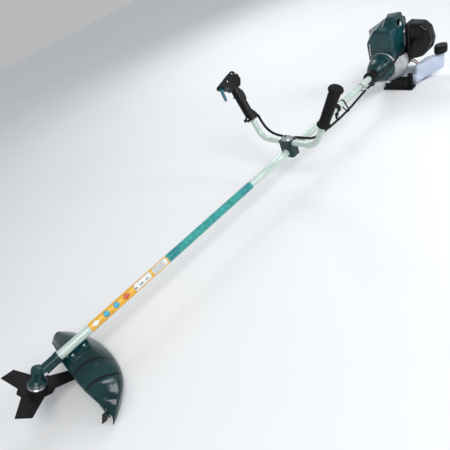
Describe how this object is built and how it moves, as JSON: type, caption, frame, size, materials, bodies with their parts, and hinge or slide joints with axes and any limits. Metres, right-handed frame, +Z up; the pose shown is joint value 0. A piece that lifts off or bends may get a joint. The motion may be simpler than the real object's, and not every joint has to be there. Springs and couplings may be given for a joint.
{
  "type": "string trimmer",
  "caption": "Petrol brush cutter: angled gear head with a three-arm blade and guard, long shaft, cow-horn handlebar with throttle grip, rear two-stroke engine.",
  "frame": {"origin": "on the ground in the foot of the engine stand, straight below the shaft", "axes": "+X back along the shaft to the engine, +Y to the right of the machine, +Z up"},
  "size_m": [2.0624, 0.532, 0.4161],
  "materials": {
    "green_paint": "satin paint",
    "green_plastic": "glossy moulded plastic",
    "black_plastic": "fine grained moulded plastic",
    "black_rubber": "soft matt rubber",
    "white_tube": "white gloss paint on tube",
    "teal_plastic": "moulded plastic",
    "cast_alloy": "die-cast, as cast",
    "steel": "machined",
    "zinc": "bright zinc plate",
    "blade_black": "black paint",
    "tank_plastic": "translucent moulded plastic",
    "foam": "open foam",
    "bulb_rubber": "clear soft rubber",
    "red_hose": "smooth hose"
  },
  "bodies": {
    "frame": {"shaft_tube": "white_tube", "shaft_bushes": "black_plastic", "gear_case": "green_paint", "gear_case_bearings": "zinc", "grease_plug": "zinc", "guard_bracket": "green_paint", "guard": "green_plastic", "guard_bolts": "zinc", "line_knife": "black_plastic", "clamp_base": "green_paint", "clamp_saddle": "green_paint", "clamp_cap": "green_paint", "clamp_bolts": "zinc", "handlebar": "white_tube", "left_grip": "black_rubber", "throttle_housing_outer": "black_plastic", "throttle_housing_inner": "black_plastic", "housing_screws": "zinc", "throttle_cable": "black_rubber", "hanger_clamp": "blade_black", "hanger_eyelet": "zinc", "m5_bolts": "zinc", "tube_collar": "blade_black", "clutch_housing": "green_paint", "fan_housing": "cast_alloy", "engine_shroud": "green_plastic", "crankcase": "cast_alloy", "engine_cylinder": "cast_alloy", "spark_plug": "steel", "plug_cap": "black_rubber", "muffler": "steel", "carburettor": "cast_alloy", "air_cleaner_base": "black_plastic", "air_filter": "foam", "air_cleaner_cover": "black_plastic", "fuel_tank": "tank_plastic", "fuel_lines": "red_hose", "starter_housing": "black_plastic", "engine_stand": "blade_black"},
    "blade_spindle": {"arbor": "steel", "bevel_gear": "steel", "blade_flange": "steel", "blade": "blade_black", "blade_cap": "steel", "blade_nut": "steel"},
    "drive_line": {"drive_shaft": "steel", "bevel_pinion": "steel", "clutch_drum": "steel"},
    "crank": {"crankshaft": "steel", "flywheel": "cast_alloy", "clutch_shoes": "cast_alloy"},
    "trigger": {"throttle_trigger": "teal_plastic"},
    "lockout": {"lockout_lever": "black_plastic"},
    "stop_slider": {"stop_switch": "teal_plastic"},
    "carb_arm": {"carb_lever": "zinc"},
    "choke": {"choke_lever": "black_plastic"},
    "primer": {"primer_bulb": "bulb_rubber"},
    "pull_grip": {"starter_grip": "black_plastic"},
    "rope_pulley": {"starter_pulley": "black_plastic"},
    "filler_cap": {"fuel_cap": "black_plastic"}
  },
  "joints": [
    {"name": "drive_spin", "type": "hinge", "parent": "frame", "child": "drive_line", "pos_m": [-0.8, 0, 0.125], "axis": [1, 0, 0], "continuous": true},
    {"name": "blade_spin", "type": "hinge", "parent": "frame", "child": "blade_spindle", "pos_m": [-1.8267, 0, 0.125], "axis": [0.5736, 0, 0.8192], "continuous": true},
    {"name": "crank_spin", "type": "hinge", "parent": "frame", "child": "crank", "pos_m": [-0.005, 0, 0.125], "axis": [1, 0, 0], "continuous": true},
    {"name": "throttle_squeeze", "type": "hinge", "parent": "frame", "child": "trigger", "pos_m": [-0.74125, 0.24351, 0.38409], "axis": [0.0595, -0.887, 0.4579], "range_deg": [0, 22], "stiffness_Nm_per_rad": 0.05, "springref_deg": -14.32},
    {"name": "lockout_squeeze", "type": "hinge", "parent": "frame", "child": "lockout", "pos_m": [-0.68025, 0.22874, 0.34754], "axis": [-0.0595, 0.887, -0.4579], "range_deg": [0, 6], "stiffness_Nm_per_rad": 0.08, "springref_deg": -8.59},
    {"name": "stop_slide", "type": "slide", "parent": "frame", "child": "stop_slider", "axis": [0.1142, 0.4617, 0.8796], "range_m": [0, 0.005]},
    {"name": "carb_turn", "type": "hinge", "parent": "frame", "child": "carb_arm", "pos_m": [0.041, -0.061, 0.225], "axis": [0, 0, 1], "range_deg": [0, 45]},
    {"name": "choke_turn", "type": "hinge", "parent": "frame", "child": "choke", "pos_m": [0.073, -0.073, 0.165], "axis": [0, -1, 0], "range_deg": [0, 50]},
    {"name": "primer_press", "type": "slide", "parent": "frame", "child": "primer", "axis": [0, 0, 1], "range_m": [0, 0.005], "stiffness_N_per_m": 300, "springref_m": -0.002},
    {"name": "pulley_turn", "type": "hinge", "parent": "frame", "child": "rope_pulley", "pos_m": [0.09, 0, 0.125], "axis": [-1, 0, 0], "range_deg": [0, 1200], "stiffness_Nm_per_rad": 0.004, "springref_deg": -572.96},
    {"name": "starter_pull", "type": "slide", "parent": "frame", "child": "pull_grip", "axis": [0, 1, 0], "range_m": [0, 0.62]},
    {"name": "cap_turn", "type": "hinge", "parent": "frame", "child": "filler_cap", "pos_m": [0.129, -0.168, 0.125], "axis": [0, 0, 1], "continuous": true}
  ],
  "couplings": [
    {"joint": "blade_spin", "follows": "drive_spin", "ratio": -0.73684},
    {"joint": "carb_turn", "follows": "throttle_squeeze", "ratio": 2},
    {"joint": "starter_pull", "follows": "pulley_turn", "m_per_rad": 0.029}
  ]
}
